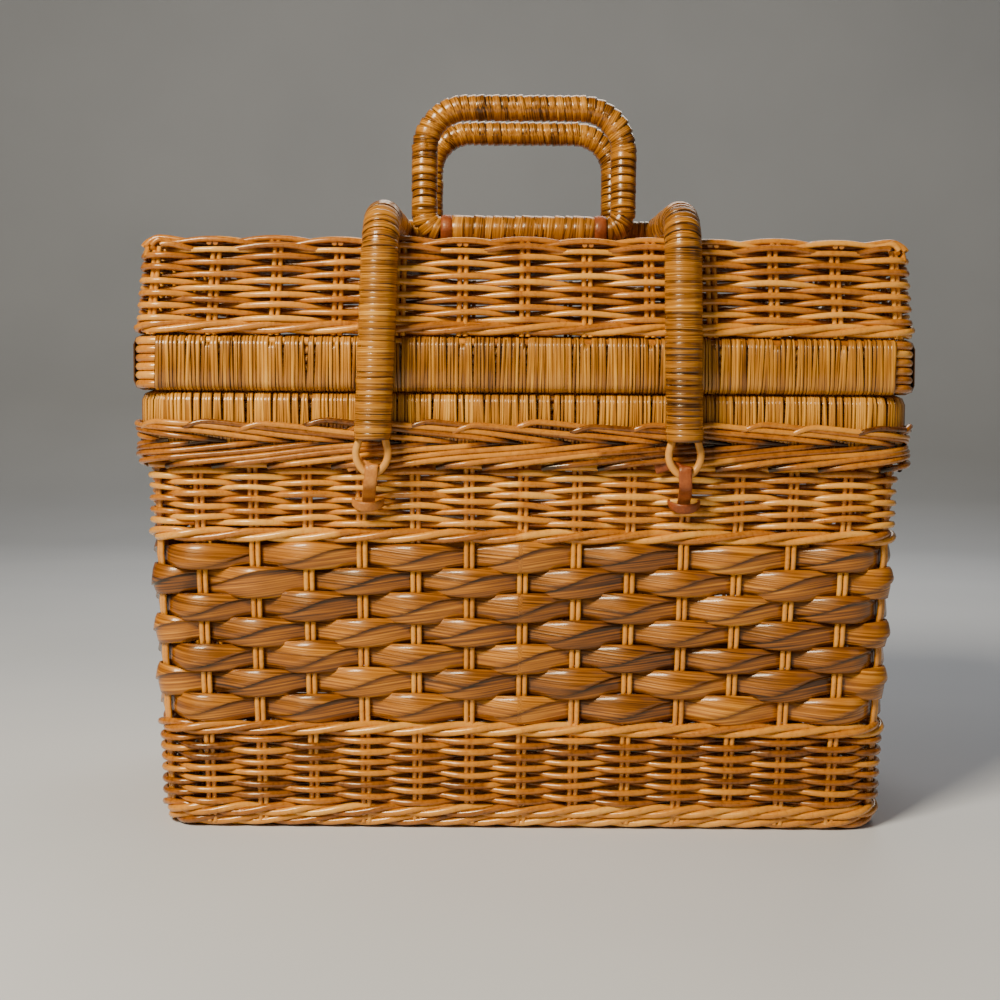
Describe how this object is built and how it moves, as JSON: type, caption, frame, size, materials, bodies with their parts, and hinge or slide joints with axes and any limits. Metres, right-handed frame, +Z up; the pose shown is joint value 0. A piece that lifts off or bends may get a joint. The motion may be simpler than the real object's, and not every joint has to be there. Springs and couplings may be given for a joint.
{
  "type": "wicker sewing basket",
  "caption": "Rectangular wicker sewing basket with a hinged lid, folding grips on top, and a strap bail whose cane eyes close over leather tongues.",
  "frame": {"origin": "middle of the base, on the surface the basket stands on", "axes": "+X to the right seen from the front, +Y to the back, +Z up"},
  "size_m": [0.3998, 0.2799, 0.386],
  "materials": {
    "reed": "varnished",
    "bark_strip": "varnished",
    "cane_wrap": "varnished",
    "pale_cane": "varnished",
    "leather": "satin"
  },
  "bodies": {
    "basket": {"base": "reed", "foot_wale": "reed", "lower_weave": "reed", "lower_wale": "reed", "strip_band": "bark_strip", "upper_wale": "reed", "upper_weave": "reed", "body_rim": "cane_wrap", "rolled_border": "reed", "left_hinge_ring": "pale_cane", "right_hinge_ring": "pale_cane", "left_tongue": "leather", "right_tongue": "leather", "left_keeper": "leather", "right_keeper": "leather"},
    "lid": {"lid_rim_core": "reed", "lid_wrap_front": "cane_wrap", "lid_wrap_rear": "cane_wrap", "lid_wrap_left": "cane_wrap", "lid_wrap_right": "cane_wrap", "lid_wale": "reed", "lid_weave": "reed", "lid_top": "reed", "front_ring_left": "leather", "front_ring_right": "leather", "rear_ring_left": "leather", "rear_ring_right": "leather"},
    "strap_bail": {"strap_bail": "cane_wrap", "left_eye": "pale_cane", "right_eye": "pale_cane"},
    "front_grip": {"front_grip": "cane_wrap", "front_grip_sleeve": "cane_wrap"},
    "rear_grip": {"rear_grip": "cane_wrap", "rear_grip_sleeve": "cane_wrap"}
  },
  "joints": [
    {"name": "lid_hinge", "type": "hinge", "parent": "basket", "child": "lid", "pos_m": [0, 0.1248, 0.22485], "axis": [-1, 0, 0], "range_deg": [0, 105], "deforming": ["left_tongue", "right_tongue"]},
    {"name": "strap_swing", "type": "hinge", "parent": "lid", "child": "strap_bail", "pos_m": [0, -0.0275, 0.3145], "axis": [-1, 0, 0], "range_deg": [0, 170], "deforming": ["left_tongue", "right_tongue"]},
    {"name": "front_grip_fold", "type": "hinge", "parent": "lid", "child": "front_grip", "pos_m": [0, -0.0445, 0.3132], "axis": [1, 0, 0], "range_deg": [-33, 90]},
    {"name": "rear_grip_fold", "type": "hinge", "parent": "lid", "child": "rear_grip", "pos_m": [0, 0.0445, 0.3132], "axis": [-1, 0, 0], "range_deg": [-33, 90]}
  ]
}
